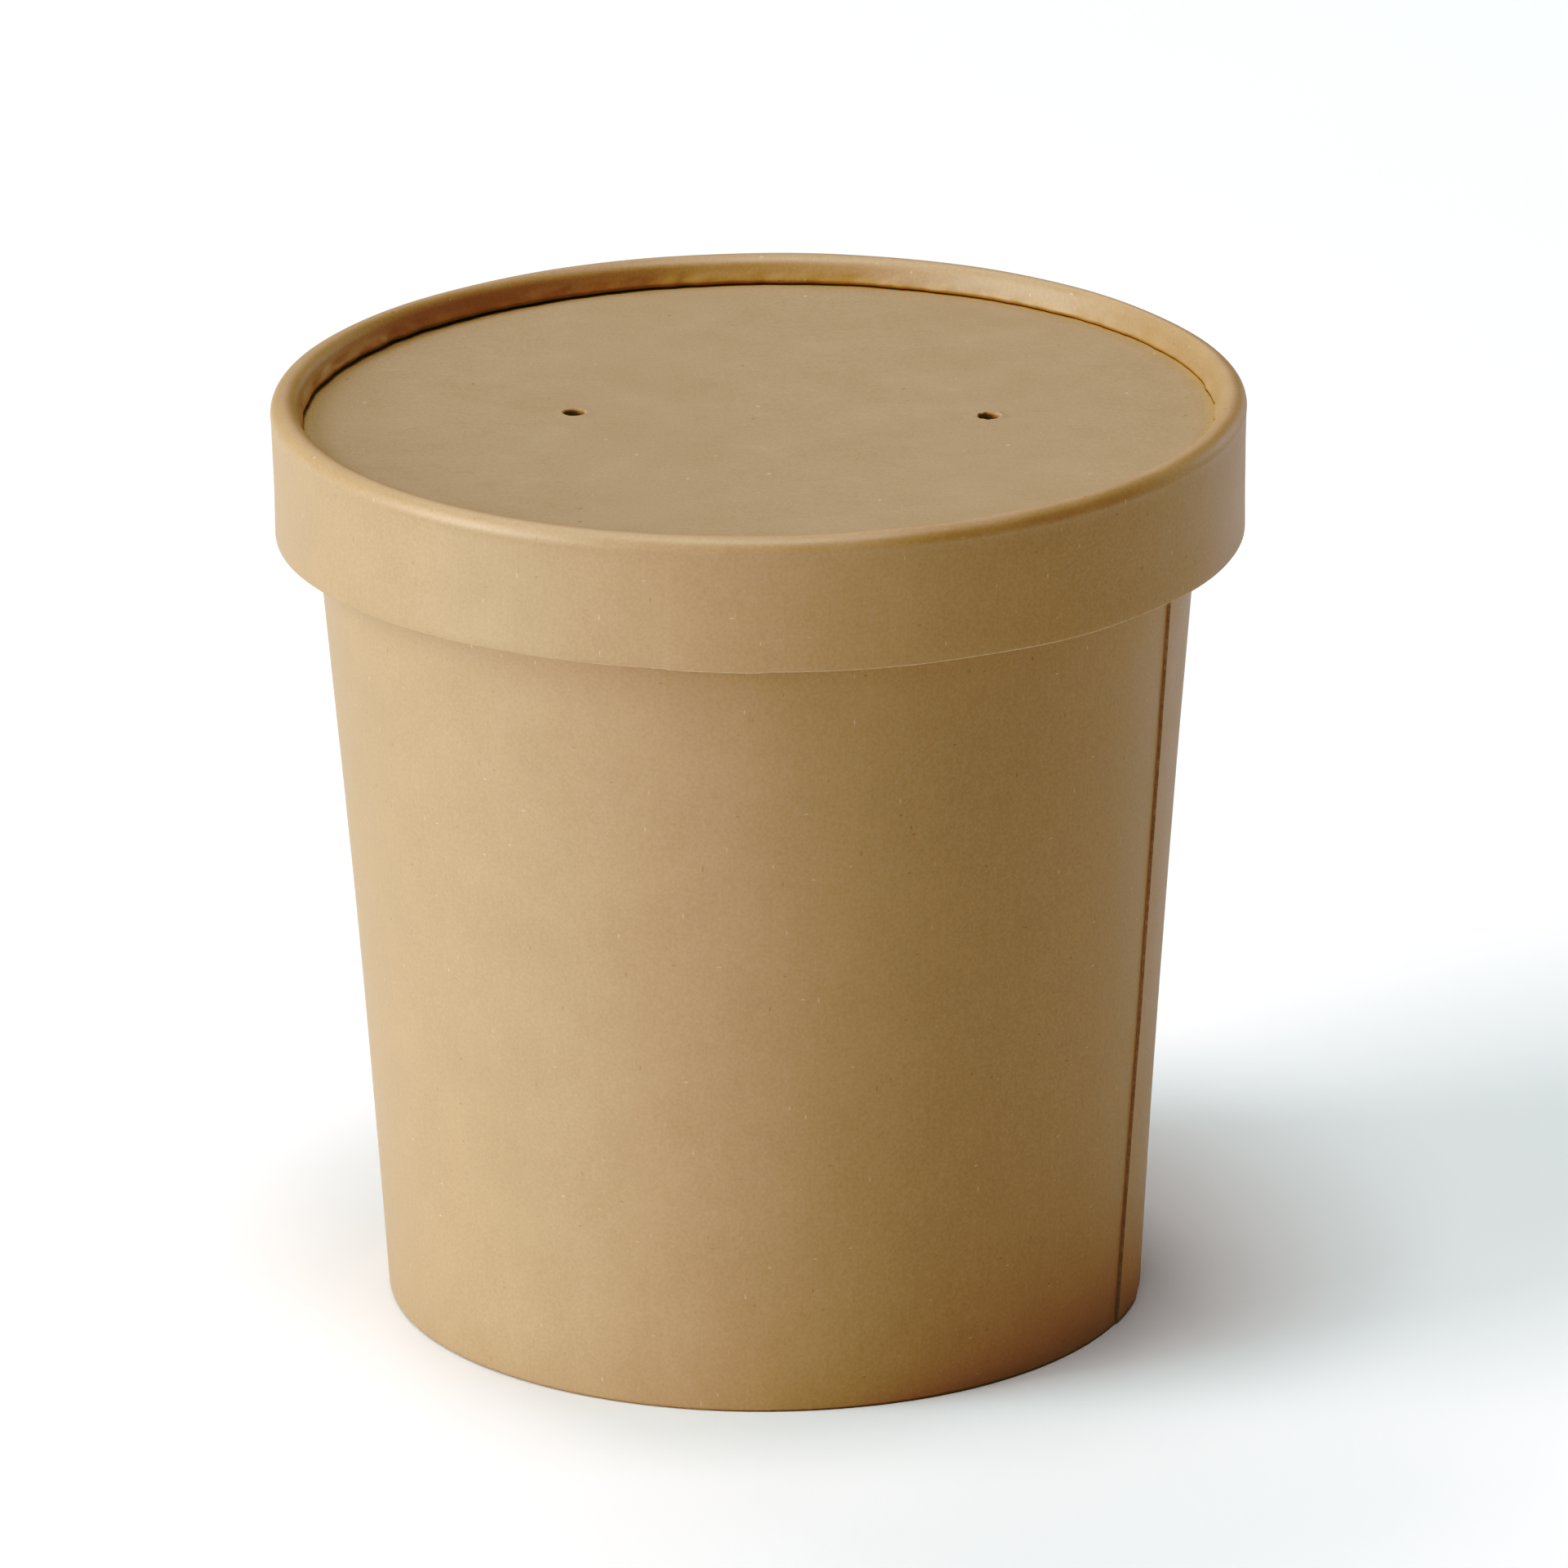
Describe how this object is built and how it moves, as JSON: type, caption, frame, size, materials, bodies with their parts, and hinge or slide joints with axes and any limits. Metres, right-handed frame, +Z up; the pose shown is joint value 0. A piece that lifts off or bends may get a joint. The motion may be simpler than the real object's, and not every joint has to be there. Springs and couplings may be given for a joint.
{
  "type": "takeaway soup container",
  "caption": "Round tapered kraft-board soup container, shut with a flat sunk paper lid that has a rolled rim and small steam vents.",
  "frame": {"origin": "centre of the foot's circle, on the surface the container stands on", "axes": "+Z up along the container's own axis; -Y is the front, the side seen in the picture; +X is the side with the glued lap"},
  "size_m": [0.0942, 0.0942, 0.0913],
  "materials": {
    "cup_board": "matte uncoated kraft outside, faint vertical grain",
    "base_board": "matte uncoated kraft",
    "lid_band_board": "matte uncoated kraft, rolled rim",
    "lid_disc_board": "matte uncoated kraft, flat"
  },
  "bodies": {
    "root": {"cup": "cup_board", "base_disc": "base_board", "lid_band": "lid_band_board", "lid_disc": "lid_disc_board"}
  },
  "joints": []
}
